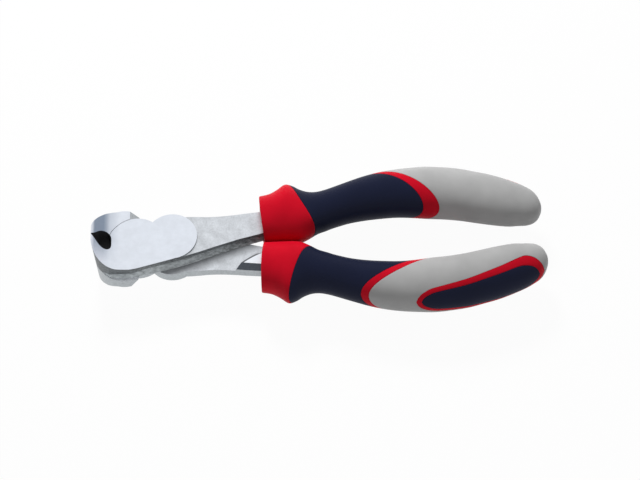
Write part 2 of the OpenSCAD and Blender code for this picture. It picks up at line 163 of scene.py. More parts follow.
# The same for a broken edge painted dark as a painted dark reflection, its upright range and
# least outward share, and for the drafted foot, its least upright and outward ones
EDGE_SLOPES, EDGE_OUT = (0.3, 0.97), 0.2
FOOT_UP, FOOT_OUT = 0.15, 0.1
# The finishes of a lever, in the order of its materials
GROUND, FORGED, FLANK, JAW_SIDE, SKIRT, PAINTED_DARK, FACET, JOINT = range(8)

# Places in a lever's joint plane, from the pivot: one on the foot of the other lever's
# side, with the foot's slope, and the middle of the arc where the tang rises
FOOT_SPOT = (15 * MM, -8.5 * MM)
FOOT_SLOPE = 0.373
STEP_SPOT = (55 * MM, -32.6 * MM)
STEP_R = 30 * MM
# Distances from that middle over which the tang's raised face ends, and its dark rim, painted
# shade at the step, grows and fades
TANG_END = (STEP_R - 0.6 * MM, STEP_R - 0.5 * MM)
STEP_SHADE_RISE = (STEP_R - 0.6 * MM, STEP_R - 0.45 * MM)
STEP_SHADE_FADE = (STEP_R + 0.1 * MM, STEP_R + 0.3 * MM)
# Painted shadow along that foot, where the other lever's side shades this face: its strength,
# and where it starts along the lever, rises towards the foot and fades away from it
FOOT_SHADOW_SHARE = 0.66
FOOT_SHADOW_START = (-2 * MM, 8 * MM)
FOOT_SHADOW_RISE = (-8 * MM, 0)
FOOT_SHADOW_FADE = (0.6 * MM, 4.6 * MM)
# The painted dark reflection, a blue-grey tint on the ground slopes behind the cutting edges:
# places from the pivot where it starts, drops to its rear strength and fades out, and places
# across the tool where it grows
NOSE_REFLECTION_START = (-14.9 * MM, -14.1 * MM)
NOSE_REFLECTION_DROP = (-11.4 * MM, -9.4 * MM)
NOSE_REFLECTION_FADE = (-10.4 * MM, -6.2 * MM)
NOSE_REFLECTION_SIDES = (-8.5 * MM, 0.5 * MM)

# Place and size of each lamp, the floor's half size and its share of white to the camera
KEY_LAMP = ((-0.1, 0.48, 0.46), 0.18)
FRONT_LAMP = ((0.12, -0.6, 0.16), 0.5)
LAMP_AIM = Vector((0, 0, 0.01))
FLOOR_HALF = 3
FLOOR_WHITE = 0.96


class NippersGripSizes(bpy.types.PropertyGroup):
    """Sizes of the moulded grips."""

    front: FloatProperty(
        name="Front", description="Distance from the pivot to the front of the grips",
        default=43.5 * MM, unit="LENGTH", subtype="DISTANCE", precision=4,
    )
    width: FloatProperty(
        name="Width", description="Greatest width of a grip, at the palm",
        default=20 * MM, unit="LENGTH", subtype="DISTANCE", precision=4,
    )
    thickness: FloatProperty(
        name="Thickness", description="Greatest thickness of a grip, along the rivet",
        default=16 * MM, unit="LENGTH", subtype="DISTANCE", precision=4,
    )
    bow_gap: FloatProperty(
        name="Bow gap", description="Widest gap between the closed grips",
        default=20 * MM, unit="LENGTH", subtype="DISTANCE", precision=4,
    )
    collar_gap: FloatProperty(
        name="Collar gap", description="Gap between the two collars of the closed tool",
        default=0.4 * MM, unit="LENGTH", subtype="DISTANCE", precision=4,
    )
    skin: FloatProperty(
        name="Skin", description="Thickness of the soft sleeve, the tail and the inlay",
        default=1.6 * MM, unit="LENGTH", subtype="DISTANCE", precision=4,
    )
    collar_length: FloatProperty(
        name="Collar length", description="Length of the collar to its rear edge, over the top",
        default=14.5 * MM, unit="LENGTH", subtype="DISTANCE", precision=4,
    )
    stripe_from: FloatProperty(
        name="Stripe from", description="Distance from the collar's front to the stripe",
        default=46.5 * MM, unit="LENGTH", subtype="DISTANCE", precision=4,
    )
    stripe_width: FloatProperty(
        name="Stripe width", description="Width of the stripe, over the top",
        default=4.2 * MM, unit="LENGTH", subtype="DISTANCE", precision=4,
    )
    inlay_length: FloatProperty(
        name="Inlay length", description="Distance from a grip's end to the front of the border",
        default=48 * MM, unit="LENGTH", subtype="DISTANCE", precision=4,
    )
    inlay_lean: FloatProperty(
        name="Inlay lean", description="Turn of the inlay round the grip from its outer side",
        default=radians(23), unit="ROTATION", subtype="ANGLE",
    )
    border_width: FloatProperty(
        name="Border width", description="Width of the border round the inlay",
        default=1.9 * MM, unit="LENGTH", subtype="DISTANCE", precision=4,
    )
    edge_round: FloatProperty(
        name="Edge rounding", description="Radius of a moulding's edge where two colours meet",
        default=0.22 * MM, unit="LENGTH", subtype="DISTANCE", precision=5,
    )
    sides: IntProperty(
        name="Sides", description="Faces round a grip", default=96, min=24, max=192,
    )


class NippersSteelSizes(bpy.types.PropertyGroup):
    """Sizes of the finish on the steel parts."""

    edge_bevel: FloatProperty(
        name="Edge bevel", description="Width of the broken edges of a lever",
        default=0.25 * MM, unit="LENGTH", subtype="DISTANCE", precision=5,
    )
    sharp_angle: FloatProperty(
        name="Sharp angle", description="Faces that meet at more than this angle get a bevel",
        default=radians(28), unit="ROTATION", subtype="ANGLE",
    )
    skirt_height: FloatProperty(
        name="Skirt height", description="Height above the joint plane where the shank flares",
        default=2.2 * MM, unit="LENGTH", subtype="DISTANCE", precision=4,
    )
    skirt_front: FloatProperty(
        name="Skirt front height", description="The same height at the front of a jaw",
        default=0.5 * MM, unit="LENGTH", subtype="DISTANCE", precision=4,
    )
    skirt_rear: FloatProperty(
        name="Skirt rear height", description="The same height at the grip",
        default=1.4 * MM, unit="LENGTH", subtype="DISTANCE", precision=4,
    )
    skirt_flare: FloatProperty(
        name="Skirt flare", description="How far a side flares out at the joint plane",
        default=1 * MM, unit="LENGTH", subtype="DISTANCE", precision=4,
    )


class NippersColours(bpy.types.PropertyGroup):
    """Colours of the steel and of the mouldings."""

    ground: FloatVectorProperty(
        name="Ground steel", description="Colour of the ground faces",
        default=(0.74, 0.78, 0.85), subtype="COLOR", size=3, min=0, max=1,
    )
    forged: FloatVectorProperty(
        name="Forged steel", description="Colour of the forged faces along the joint plane",
        default=(0.67, 0.7, 0.74), subtype="COLOR", size=3, min=0, max=1,
    )
    # A painted dark reflection: the forged upright sides are darkened as if they reflected dark
    # surroundings below
    flank: FloatVectorProperty(
        name="Forged flanks", description="Colour of the forged upright sides",
        default=(0.15, 0.162, 0.17), subtype="COLOR", size=3, min=0, max=1,
    )
    skirt: FloatVectorProperty(
        name="Forged skirts", description="Colour of the drafted foot of the forged sides",
        default=(0.25, 0.27, 0.28), subtype="COLOR", size=3, min=0, max=1,
    )
    # Near black painted shade: the throat's walls, the bevels along far edges and the painted
    # shadow on the joint faces
    throat: FloatVectorProperty(
        name="Throat", description="Colour of the walls of the throat",
        default=(0.02, 0.021, 0.023), subtype="COLOR", size=3, min=0, max=1,
    )
    # A painted dark reflection: the blue-grey of the ground slopes behind the cutting edges
    nose_reflection: FloatVectorProperty(
        name="Temper", description="Blue-grey of the hardened zone near the cutting edges",
        default=(0.24, 0.29, 0.37), subtype="COLOR", size=3, min=0, max=1,
    )
    jaw_side: FloatVectorProperty(
        name="Jaw sides", description="Colour of the outer walls of the jaws",
        default=(0.42, 0.45, 0.47), subtype="COLOR", size=3, min=0, max=1,
    )
    # A painted dark reflection: the tang's facets are darkened as if they reflected dark
    # surroundings
    facet: FloatVectorProperty(
        name="Tang facets", description="Colour of the bevel beside the tang's step",
        default=(0.075, 0.085, 0.1), subtype="COLOR", size=3, min=0, max=1,
    )
    red: FloatVectorProperty(
        name="Red", description="Colour of the hard core",
        default=(0.63, 0.005, 0.02), subtype="COLOR", size=3, min=0, max=1,
    )
    navy: FloatVectorProperty(
        name="Navy", description="Colour of the soft sleeve and the inlay",
        default=(0.0075, 0.0105, 0.03), subtype="COLOR", size=3, min=0, max=1,
    )
    grey: FloatVectorProperty(
        name="Grey", description="Colour of the soft tail",
        default=(0.46, 0.46, 0.46), subtype="COLOR", size=3, min=0, max=1,
    )


class NippersStage(bpy.types.PropertyGroup):
    """The view and the light."""

    azimuth: FloatProperty(
        name="Azimuth", description="Camera's direction round the tool",
        default=radians(-2.38), unit="ROTATION", subtype="ANGLE",
    )
    elevation: FloatProperty(
        name="Elevation", description="Camera's angle above the floor",
        default=radians(60), unit="ROTATION", subtype="ANGLE",
    )
    distance: FloatProperty(
        name="Distance", description="Distance from the camera to its target",
        default=0.5615, unit="LENGTH", subtype="DISTANCE",
    )
    target: FloatVectorProperty(
        name="Target", description="Point that the camera looks at, from the pivot",
        default=(64.73 * MM, 0.79 * MM, 0), unit="LENGTH", subtype="XYZ", size=3,
    )
    lens: FloatProperty(
        name="Lens", description="Focal length in millimetres for a sensor 36 mm wide",
        default=88.73,
    )
    fill: FloatProperty(
        name="Fill", description="Strength of the even light from all round", default=0.19,
    )
    key_power: FloatProperty(
        name="Key power", description="Power of the large lamp above and behind, in watts",
        default=4.2,
    )
    front_power: FloatProperty(
        name="Front power", description="Power of the soft lamp before the tool, in watts",
        default=0.6,
    )


# Shared helpers

def smooth_curve(points, count):
    """A smooth curve through rows of numbers, with count steps between each two."""
    curve = []
    for i in range(len(points) - 1):
        a, b, c = points[max(i - 1, 0)], points[i], points[i + 1]
        d = points[min(i + 2, len(points) - 1)]
        for k in range(count):
            t = k / count
            curve.append(tuple(
                q + t * (r - p) / 2 + t * t * (p - 2.5 * q + 2 * r - s / 2)
                + t * t * t * (1.5 * q - 1.5 * r + (s - p) / 2)
                for p, q, r, s in zip(a, b, c, d)
            ))
    curve.append(tuple(float(v) for v in points[-1]))
    return curve


def loop_edges(bm, loop):
    """The edges between each two verts of a closed loop."""
    return [bm.edges.get((a, b)) for a, b in zip(loop, loop[1:] + loop[:1])]


def place(loop, points):
    """Puts the verts of a loop on points."""
    for vert, point in zip(loop, points):
        vert.co = point


def skin_through(bm, rings, tube=False):
    """Skins through rings of points by growing one loop into the next. The ends are closed
    by a face each, or joined to each other for a tube."""
    first = bmesh.ops.create_circle(bm, segments=len(rings[0]), radius=1)["verts"]
    place(first, rings[0])
    loop = first
    for ring in rings[1:]:
        grown = bmesh.ops.extrude_edge_only(bm, edges=loop_edges(bm, loop))["geom"]
        new = {v for v in grown if isinstance(v, bmesh.types.BMVert)}
        loop = [next(e.other_vert(v) for e in v.link_edges if e.other_vert(v) in new)
                for v in loop]
        place(loop, ring)
    ends = [loop_edges(bm, first), loop_edges(bm, loop)]
    if tube:
        bmesh.ops.bridge_loops(bm, edges=ends[0] + ends[1])
    else:
        for end in ends:
            bmesh.ops.contextual_create(bm, geom=end)
    bmesh.ops.recalc_face_normals(bm, faces=bm.faces)


def rounded(radius, steps):
    """Points of a quarter round that starts on one of two sides and ends on the other, each
    as its distances from both."""
    angles = [pi / 2 * k / steps for k in range(steps + 1)]
    return [(radius * (1 - cos(a)), radius * (1 - sin(a))) for a in angles]


def finished_mesh(bm, name):
    """Turns a bmesh into a mesh."""
    mesh = bpy.data.meshes.new(name)
    bm.to_mesh(mesh)
    bm.free()
    return mesh


def smoothed(mesh, sharp=radians(35)):
    """Shades a mesh smooth, apart from edges sharper than an angle."""
    mesh.shade_smooth()
    mesh.set_sharp_from_angle(angle=sharp)


def add_object(context, name, data):
    """A new object in the scene."""
    made = bpy.data.objects.new(name, data)
    context.scene.collection.objects.link(made)
    return made


def make_piece(context, bm, name, body, slot, nodes, materials, **shading):
    """Turns a bmesh into a finished piece that rides on a body and stands for CAD nodes."""
    mesh = finished_mesh(bm, name)
    smoothed(mesh, **shading)
    for material in materials:
        mesh.materials.append(material)
    piece = add_object(context, name, mesh)
    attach(piece, body)
    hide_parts(*nodes)
    return piece


# Materials

class MaterialNodes:
    """A node material under construction, on object coordinates in metres."""

    def __init__(self, name):
        self.material = bpy.data.materials.new(name)
        self.material.use_nodes = True
        self.tree = self.material.node_tree
        self.tree.nodes.clear()
        self.out = self.tree.nodes.new("ShaderNodeOutputMaterial")
        self.shader = self.tree.nodes.new("ShaderNodeBsdfPrincipled")
        self.link(self.shader.outputs[0], self.out.inputs["Surface"])
        self.coords = self.tree.nodes.new("ShaderNodeTexCoord").outputs["Object"]

    def link(self, source, socket):
        """Links an output to an input."""
        self.tree.links.new(source, socket)

    def noise(self, size, detail=3, roughness=0.55, stretch=(1, 1, 1)):
        """Noise with blobs of about that size, from 0 to 1."""
        mapping = self.tree.nodes.new("ShaderNodeMapping")
        mapping.inputs["Scale"].default_value = stretch
        self.link(self.coords, mapping.inputs["Vector"])
        node = self.tree.nodes.new("ShaderNodeTexNoise")
        node.inputs["Scale"].default_value = 1 / size
        node.inputs["Detail"].default_value = detail
        node.inputs["Roughness"].default_value = roughness
        self.link(mapping.outputs[0], node.inputs["Vector"])
        return node.outputs["Fac"]

    def ramp(self, value, low, high, at=(0.3, 0.7)):
        """A value's range turned into colours between low and high."""
        node = self.tree.nodes.new("ShaderNodeValToRGB")
        first, last = node.color_ramp.elements
        first.position, last.position = at
        first.color, last.color = (*low, 1), (*high, 1)
        self.link(value, node.inputs["Fac"])
        return node.outputs["Color"]

    def between(self, value, low, high, at=(0.3, 0.7)):
        """A value's range turned into numbers between low and high."""
        node = self.tree.nodes.new("ShaderNodeMapRange")
        node.inputs["From Min"].default_value = at[0]
        node.inputs["From Max"].default_value = at[1]
        node.inputs["To Min"].default_value = low
        node.inputs["To Max"].default_value = high
        self.link(value, node.inputs["Value"])
        return node.outputs["Result"]

    def bump(self, height, depth, strength):
        """Adds relief of about that depth in metres to the shader's normal."""
        node = self.tree.nodes.new("ShaderNodeBump")
        node.inputs["Strength"].default_value = strength
        node.inputs["Distance"].default_value = depth
        self.link(height, node.inputs["Height"])
        self.link(node.outputs[0], self.shader.inputs["Normal"])

    def along(self, axis):
        """Place along an object axis, in metres."""
        node = self.tree.nodes.new("ShaderNodeSeparateXYZ")
        self.link(self.coords, node.inputs[0])
        return node.outputs[axis]

    def math(self, operation, *values):
        """The result of a sum on values that are sockets or numbers."""
        node = self.tree.nodes.new("ShaderNodeMath")
        node.operation = operation
        for value, socket in zip(values, node.inputs):
            if isinstance(value, bpy.types.NodeSocket):
                self.link(value, socket)
            else:
                socket.default_value = value
        return node.outputs[0]

    def times(self, first, *others):
        """The product of values that are sockets or numbers."""
        for other in others:
            first = self.math("MULTIPLY", first, other)
        return first

    def mixed(self, share, first, second):
        """A colour from the first towards a fixed second one, by a share."""
        node = self.tree.nodes.new("ShaderNodeMix")
        node.data_type = "RGBA"
        self.link(share, node.inputs["Factor"])
        self.link(first, node.inputs[6])
        node.inputs[7].default_value = (*second, 1)
        return node.outputs[2]

    def finish(self, colour, roughness):
        """Links the shader's colour and roughness."""
        self.link(colour, self.shader.inputs["Base Color"])
        self.link(roughness, self.shader.inputs["Roughness"])

    def set(self, **values):
        """Sets constants on the shader's own sockets."""
        for key, value in values.items():
            self.shader.inputs[key.replace("_", " ")].default_value = value


def tinted(colour, factor):
    """A colour made lighter or darker."""
    return tuple(min(c * factor, 1) for c in colour)


def from_pivot(places):
    """Places along the tool, given from the pivot, as places on the object's own axis."""
    return tuple(PIVOT.x + place for place in places)


def ground_steel(colours):
    """Ground faces: bright, with faint cloudiness and very fine grinding lines, and a blue-grey
    painted dark reflection on the slopes behind the cutting edges.
    """
    m = MaterialNodes("ground_steel")
    cloud = m.noise(3 * MM, detail=4)
    lines = m.noise(0.12 * MM, detail=2, stretch=(1, 0.06, 1))
    plain = m.ramp(cloud, tinted(colours.ground, 0.95), tinted(colours.ground, 1.04))
    back = m.along(0)
    # Share of the painted dark reflection on the slopes behind the cutting edges
    start = m.between(back, 0, 1, at=from_pivot(NOSE_REFLECTION_START))
    drop = m.between(back, 1, 0.45, at=from_pivot(NOSE_REFLECTION_DROP))
    fade = m.between(back, 1, 0, at=from_pivot(NOSE_REFLECTION_FADE))
    side = m.between(m.along(1), 0.12, 1, at=NOSE_REFLECTION_SIDES)
    zone = m.times(start, drop, fade, side)
    m.finish(m.mixed(zone, plain, colours.nose_reflection), m.between(cloud, 0.3, 0.38))
    m.bump(lines, 0.004 * MM, strength=0.3)
    m.set(Metallic=1)
    return m.material


def forged_steel(colours, joint=None):
    """Forged faces, blasted and plated: silvery, with light speckles and soft dents. Those along
    the joint plane get painted shade in their corners: a painted shadow along the foot of the
    other lever's side and a dark painted rim round the step up to the tang."""
    m = MaterialNodes("forged_joint" if joint else "forged_steel")
    speckle = m.noise(0.55 * MM, detail=5, roughness=0.65)
    cloud = m.noise(4 * MM, detail=3)
    shade = m.between(cloud, 0.3, 0.7)
    mix = m.math("MULTIPLY_ADD", speckle, 0.7, m.between(shade, 0, 0.3))
    colour = m.ramp(mix, tinted(colours.forged, 0.78), tinted(colours.forged, 1.12))
    if joint:
        # The tang's raised face is mixed lighter, and the painted shadow and shade are mixed
        # towards near black
        tang, painted_shade = joint_zones(m, joint)
        colour = m.mixed(tang, colour, tinted(colours.forged, 1.3))
        colour = m.mixed(painted_shade, colour, colours.throat)
    m.finish(colour, m.between(speckle, 0.34, 0.5))
    m.bump(speckle, 0.05 * MM, strength=0.5)
    m.set(Metallic=1)
    return m.material


def joint_zones(m, side):
    """Shares of the tang's raised face and of the painted shade: a painted shadow along the foot
    of the other lever's side, and painted shade round the step up to the tang. The side is 1 for
    the lever whose half of the joint is below the joint plane, and -1 for the other."""
    back = m.math("SUBTRACT", m.along(0), PIVOT.x)
    across = m.math("MULTIPLY", m.along(1), side)
    past_foot = m.math("SUBTRACT", back, FOOT_SPOT[0])
    foot = m.math("MULTIPLY_ADD", past_foot, FOOT_SLOPE, FOOT_SPOT[1])
    away = m.math("SUBTRACT", foot, across)
    # Painted shadow beside the foot of the other lever's side, which shades this face
    beside = m.times(m.between(away, 0, 1, at=FOOT_SHADOW_RISE),
                     m.between(away, FOOT_SHADOW_SHARE, 0, at=FOOT_SHADOW_FADE),
                     m.between(back, 0, 1, at=FOOT_SHADOW_START))
    x = m.math("SUBTRACT", back, STEP_SPOT[0])
    y = m.math("SUBTRACT", across, STEP_SPOT[1])
    r = m.math("SQRT", m.math("MULTIPLY_ADD", x, x, m.times(y, y)))
    tang = m.between(r, 1, 0, at=TANG_END)
    # Painted shade round the step up to the tang
    rim = m.times(m.between(r, 0, 0.8, at=STEP_SHADE_RISE), m.between(r, 1, 0, at=STEP_SHADE_FADE))
    return tang, m.math("MAXIMUM", beside, rim)


def flank_dark_reflection(colours):
    """Upright forged sides: dark, a painted reflection of dark surroundings below, with a
    mottled grain.
    """
    m = MaterialNodes("flank_dark_reflection")
    grain = m.noise(0.8 * MM, detail=5, roughness=0.7)
    m.finish(m.ramp(grain, tinted(colours.flank, 0.45), tinted(colours.flank, 1.8)),
             m.between(grain, 0.42, 0.6))
    m.bump(grain, 0.09 * MM, strength=0.8)
    m.set(Metallic=0.9)
    return m.material


def forged_skirt(colours):
    """Drafted foot of the forged sides: lighter, with a coarse drawn-out grain."""
    m = MaterialNodes("forged_skirt")
    grain = m.noise(0.8 * MM, detail=5, roughness=0.75, stretch=(0.4, 1, 1))
    darker = m.between(m.along(0), 0, 0.15, at=from_pivot((0, 26 * MM)))
    m.finish(m.ramp(m.math("SUBTRACT", grain, darker), tinted(colours.skirt, 0.4),
                    tinted(colours.skirt, 2.1), at=(0.18, 0.66)),
             m.between(grain, 0.4, 0.55))
    m.bump(grain, 0.12 * MM, strength=0.9)
    m.set(Metallic=0.9)
    return m.material


def throat_and_edge_shade(colours):
    """Walls of the throat and bevels along far edges: near black, painted shade in the throat
    and a painted dark reflection along the edges.
    """
    m = MaterialNodes("throat_and_edge_shade")
    grain = m.noise(0.6 * MM, detail=3)
    m.finish(m.ramp(grain, tinted(colours.throat, 0.7), tinted(colours.throat, 1.4)),
             m.between(grain, 0.6, 0.75))
    m.set(Specular_IOR_Level=0.1)
    return m.material


def smooth_steel(name, colour):
    """Smooth walls: outer sides of the jaws and handles, and the tangs' facets, whose dark
    colour is a painted dark reflection.
    """
    m = MaterialNodes(name)
    grain = m.noise(0.8 * MM, detail=4)
    m.finish(m.ramp(grain, tinted(colour, 0.85), tinted(colour, 1.15)),
             m.between(grain, 0.36, 0.46))
    m.bump(grain, 0.03 * MM, strength=0.5)
    m.set(Metallic=1)
    return m.material


def moulded(name, colour, roughness, specular, grain_size, grain_depth):
    """A moulded grip surface: even colour with a fine eroded grain and a soft sheen."""
    m = MaterialNodes(name)
    grain = m.noise(grain_size, detail=3)
    cloud = m.noise(9 * MM, detail=2)
    m.finish(m.ramp(cloud, tinted(colour, 0.93), tinted(colour, 1.05)),
             m.between(grain, roughness - 0.04, roughness + 0.05))
    m.bump(grain, grain_depth, strength=0.35)
    m.set(Specular_IOR_Level=specular)
    return m.material


# The grips' form

class GripForm:
    """The surface of a grip about the pivot: x along the tool, turn round the grip from its
    outer side, and a depth below the surface."""

    def __init__(self, sizes):
        self.sizes = sizes
        self.end = cad_box[1].x - PIVOT.x
        self.length = self.end - sizes.front
        self.rows = smooth_curve(GRIP_SHARES, 16)
        self.places = [row[0] for row in self.rows]

    def row(self, x):
        """Middle line's y, half width and half thickness at x."""
        along = min(max((x - self.sizes.front) / self.length, 0), 1)
        i = min(max(bisect_right(self.places, along) - 1, 0), len(self.rows) - 2)
        a, b = self.rows[i], self.rows[i + 1]
        t = (along - a[0]) / (b[0] - a[0])
        inner, width, thick = (p + (q - p) * t for p, q in zip(a[1:], b[1:]))
        half_w = width * self.sizes.width / 2
        half_t = thick * self.sizes.thickness / 2
        gap = self.sizes.collar_gap / 2
        middle = gap + inner * (self.sizes.bow_gap / 2 - gap) + half_w
        return middle, half_w, half_t

    def point(self, x, turn, depth):
        """Point at x, that far round the grip and that deep below its surface."""
        middle, half_w, half_t = self.row(x)
        return Vector((
            x,
            middle + max(half_w - depth, half_w / 8) * cos(turn),
            max(half_t - depth, half_t / 8) * sin(turn),
        ))

    def front_edge(self, turn):
        """Place of the collar's front at that turn round the grip."""
        return self.sizes.front + self.sizes.collar_length * COLLAR_BOW * (1 - cos(turn)) ** 2

    def collar_edge(self, turn):
        """Place of the collar's rear edge at that turn."""
        share = 1 - COLLAR_SKEW * cos(turn) + COLLAR_TWIST * sin(turn)
        return self.sizes.front + self.sizes.collar_length * share

    def stripe_front(self, turn):
        """Place of the stripe's front at that turn."""
        share = 1 - STRIPE_SKEW * cos(turn) + STRIPE_TWIST * sin(turn)
        return self.sizes.front + self.sizes.stripe_from * share

    def stripe_rear(self, turn):
        """Place of the stripe's rear at that turn."""
        share = 1 - WIDTH_SKEW * cos(turn) + WIDTH_TWIST * sin(turn)
        return self.stripe_front(turn) + self.sizes.stripe_width * share

    def tip(self, turn):
        """Place of the grip's end, the same at every turn."""
        return self.end

    def core_tip(self, turn):
        """Place of the core's end, the same at every turn."""
        return self.end - self.sizes.skin

    def ring(self, edge, shift, depth):
        """Points round the grip along an edge, shifted along the tool."""
        count = self.sizes.sides
        turns = [2 * pi * k / count for k in range(count)]
        return [self.point(edge(turn) + shift, turn, depth) for turn in turns]

    def zone(self, start, end, shifts, depth, count, ease=False):
        """Rings between two edges, the first and last shifted along the tool. With ease
        they close up towards the end."""
        rings = []
        for k in range(count + 1):
            u = sin(pi / 2 * k / count) if ease else k / count

            def edge(turn, u=u):
                near, far = start(turn) + shifts[0], end(turn) + shifts[1]
                return near + (far - near) * u
            rings.append(self.ring(edge, 0, depth))
        return rings

    def roll(self, edge, side):
        """Rings round an edge's rounding: from the surface down to the skin's depth on the
        side +1, towards the grip's end, or up from it on the side -1."""
        rings = [self.ring(edge, -side * shift, depth)
                 for depth, shift in rounded(self.sizes.edge_round, ROLL_STEPS)]
        rings.append(self.ring(edge, 0, self.sizes.skin))
        return rings if side > 0 else rings[::-1]

    def view_point(self, x, height, share):
        """Point that high in the inlay's view, out from the middle by a share of the half
        width."""
        middle, half_w, _ = self.row(x)
        lean = self.sizes.inlay_lean
        out = share * half_w
        return Vector((x, middle + height * sin(lean) + out * cos(lean),
                       height * cos(lean) - out * sin(lean)))

    def inlay_turn(self, x, height):
        """Turn round the grip of the point that is that high in the inlay's view."""
        _, half_w, half_t = self.row(x)
        lean = self.sizes.inlay_lean
        across, up = half_w * sin(lean), half_t * cos(lean)
        reach = hypot(across, up)
        share = min(max(height / reach, -0.995), 0.995)
        return asin(share) - atan2(across, up)

    def inlay_outline(self, inset, count=5):
        """Outline of the inlay's border, drawn in by an inset, as places in its view."""
        sizes = self.sizes
        front = self.end - sizes.inlay_length + inset
        long = sizes.inlay_length - sizes.border_width - 2 * inset
        half = BORDER_SHARE * sizes.thickness - INSET_SHARE * inset
        upper = [(front + a * long, b * half) for a, b in smooth_curve(INLAY_SHARES, count)]
        return upper + [(x, -height) for x, height in upper[-2:0:-1]]


def set_in_place(points, lower):
    """Moves points from the upper grip's frame about the pivot to their grip."""
    if lower:
        return [PIVOT + Vector((p.x, -p.y, -p.z)) for p in points]
    return [PIVOT + p for p in points]


def mould(context, rings, grip, part, slot, node, material, tube=False):
    """Skins rings of the upper grip's frame into a piece of a grip, which stands for one of
    its nodes."""
    name, body, lower = grip
    bm = bmesh.new()
    skin_through(bm, [set_in_place(ring, lower) for ring in rings], tube)
    return make_piece(context, bm, f"{name}_{part}", body, slot, [f"{name}_{node}"],
                      [material])


# Operators

